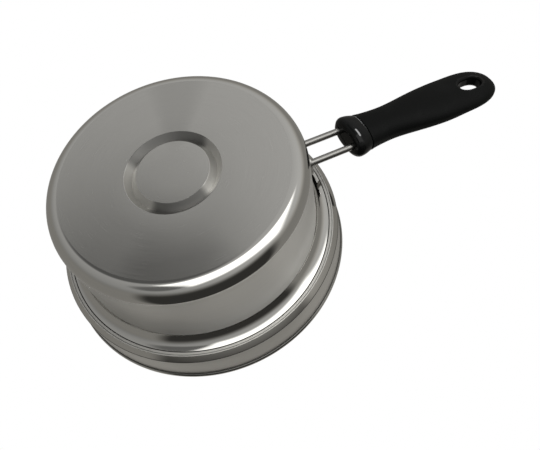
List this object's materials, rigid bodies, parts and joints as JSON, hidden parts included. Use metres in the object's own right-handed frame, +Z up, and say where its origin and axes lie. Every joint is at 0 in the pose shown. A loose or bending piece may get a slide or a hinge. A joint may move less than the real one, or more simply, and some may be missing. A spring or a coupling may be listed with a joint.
{
  "type": "ramen pot",
  "caption": "Stepped stainless-steel ramen pot with a curled rim, a ring-grooved base and a black moulded handle with a hang hole, carried on parallel steel rods.",
  "frame": {"origin": "centre of the underside of the base, on the plane that the pot stands on", "axes": "+Z up out of the mouth, +X from the pot's axis along the handle"},
  "size_m": [0.3264, 0.1838, 0.0862],
  "materials": {
    "body_steel": "satin wall, polished corners, circular brushing on the base",
    "bracket_steel": "satin",
    "rod_steel": "bright drawn",
    "collar_resin": "glossy moulded phenolic resin",
    "grip_resin": "matt moulded phenolic resin"
  },
  "bodies": {
    "root": {"pot_body": "body_steel", "handle_bracket": "bracket_steel", "handle_rod_left": "rod_steel", "handle_rod_right": "rod_steel", "grip_collar": "collar_resin", "grip": "grip_resin"}
  },
  "joints": []
}
